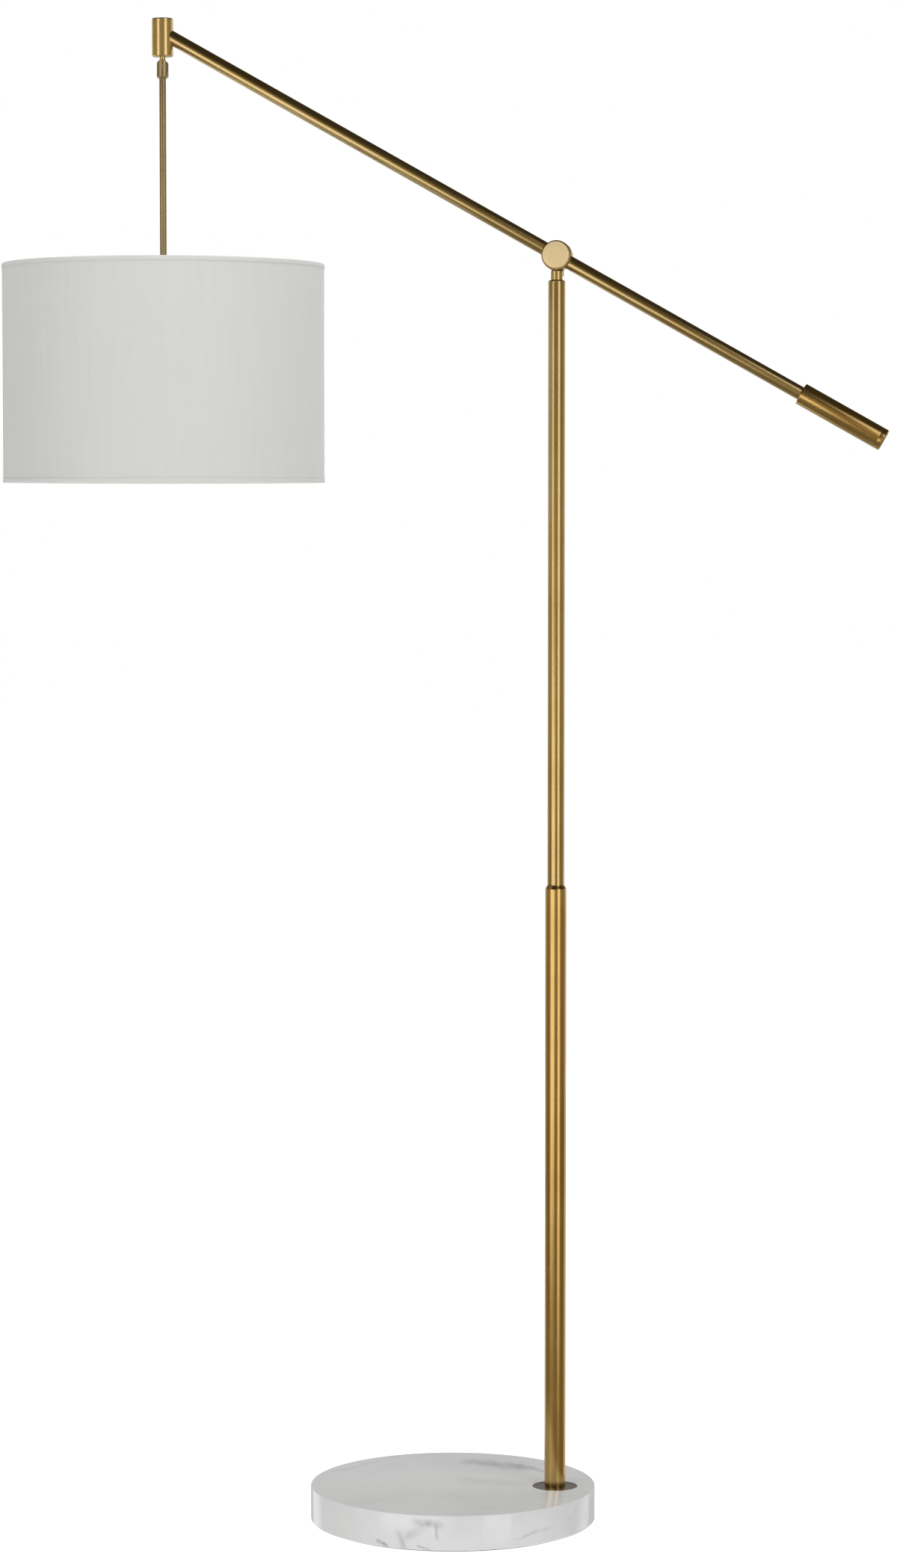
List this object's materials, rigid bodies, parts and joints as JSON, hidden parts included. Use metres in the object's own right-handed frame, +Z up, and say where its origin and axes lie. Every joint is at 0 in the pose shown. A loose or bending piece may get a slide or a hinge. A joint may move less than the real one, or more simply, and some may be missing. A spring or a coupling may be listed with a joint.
{
  "type": "arc floor lamp",
  "caption": "Floor lamp with a marble disc base, a stepped brass pole, a tilting boom with a counterweight and a drum shade hung from the boom's end.",
  "frame": {"origin": "centre of the round base's underside, on the floor", "axes": "+Z up; +X from the shade towards the counterweight, with the boom in the XZ plane; +Y to the back, away from the clamp knob"},
  "size_m": [1.0427, 0.3798, 1.7767],
  "materials": {
    "marble": "polished white marble with faint grey veins",
    "foam_pad": "dense black foam rubber",
    "black_rubber": "matt black rubber",
    "white_plastic": "moulded nylon",
    "black_plastic": "moulded black plastic",
    "zinc_steel": "zinc-plated steel",
    "antique_brass": "brushed antique brass, clear lacquer",
    "lead_sleeve": "pale flexible sleeve",
    "cap_metal": "bare rolled aluminium",
    "opal_glass": "opal glass",
    "shade_fabric": "pale grey linen on a stiff lining",
    "white_wire": "white powder-coated steel wire"
  },
  "bodies": {
    "base_and_pole": {"marble_base": "marble", "base_pad": "foam_pad", "cord_grommet": "black_rubber", "terminal_block": "white_plastic", "clamp_washer": "zinc_steel", "base_nut": "zinc_steel", "threaded_stem": "zinc_steel", "pole_gasket": "black_rubber", "pole_foot": "zinc_steel", "lower_pole": "antique_brass", "pole_coupler": "zinc_steel", "upper_pole": "antique_brass", "pole_top_bush": "antique_brass", "lead_pole": "lead_sleeve"},
    "swivel": {"swivel_washer": "black_plastic", "swivel_bracket": "antique_brass", "retaining_nut": "zinc_steel", "friction_washer": "black_plastic", "rear_cap_nut": "antique_brass", "lead_swivel": "lead_sleeve"},
    "boom": {"knuckle_block": "antique_brass", "boom_insert_front": "zinc_steel", "boom_insert_rear": "zinc_steel", "boom_tube_front": "antique_brass", "boom_tube_rear": "antique_brass", "tail_plug": "zinc_steel", "counterweight": "antique_brass", "weight_cap": "antique_brass", "head_body": "antique_brass", "head_cap": "antique_brass", "hanger_stud": "antique_brass", "hanger_nut": "zinc_steel", "lead_boom": "lead_sleeve"},
    "knob": {"clamp_knob": "antique_brass", "knob_washer": "black_plastic"},
    "drop": {"swing_fork": "antique_brass", "swing_pin": "zinc_steel", "drop_rod": "antique_brass", "lead_drop": "lead_sleeve", "rod_locknuts": "zinc_steel", "socket_cup": "antique_brass", "lampholder": "black_plastic", "screw_shell": "cap_metal", "centre_contact": "antique_brass", "bulb_cap": "cap_metal", "bulb_glass": "opal_glass", "shade_drum": "shade_fabric", "shade_top_ring": "white_wire", "shade_bottom_ring": "white_wire", "shade_spider": "white_wire"}
  },
  "joints": [
    {"name": "head_swivel", "type": "hinge", "parent": "base_and_pole", "child": "swivel", "pos_m": [0.122, 0, 1.468], "axis": [0, 0, 1], "range_deg": [-170, 170]},
    {"name": "boom_tilt", "type": "hinge", "parent": "swivel", "child": "boom", "pos_m": [0.122, 0, 1.497], "axis": [0, 1, 0], "range_deg": [-30, 13]},
    {"name": "knob_turn", "type": "hinge", "parent": "swivel", "child": "knob", "pos_m": [0.122, -0.015, 1.497], "axis": [0, -1, 0], "range_deg": [0, 360]},
    {"name": "drop_swing", "type": "hinge", "parent": "boom", "child": "drop", "pos_m": [-0.3432, 0, 1.7211], "axis": [0, -1, 0], "range_deg": [-31, 14]}
  ]
}
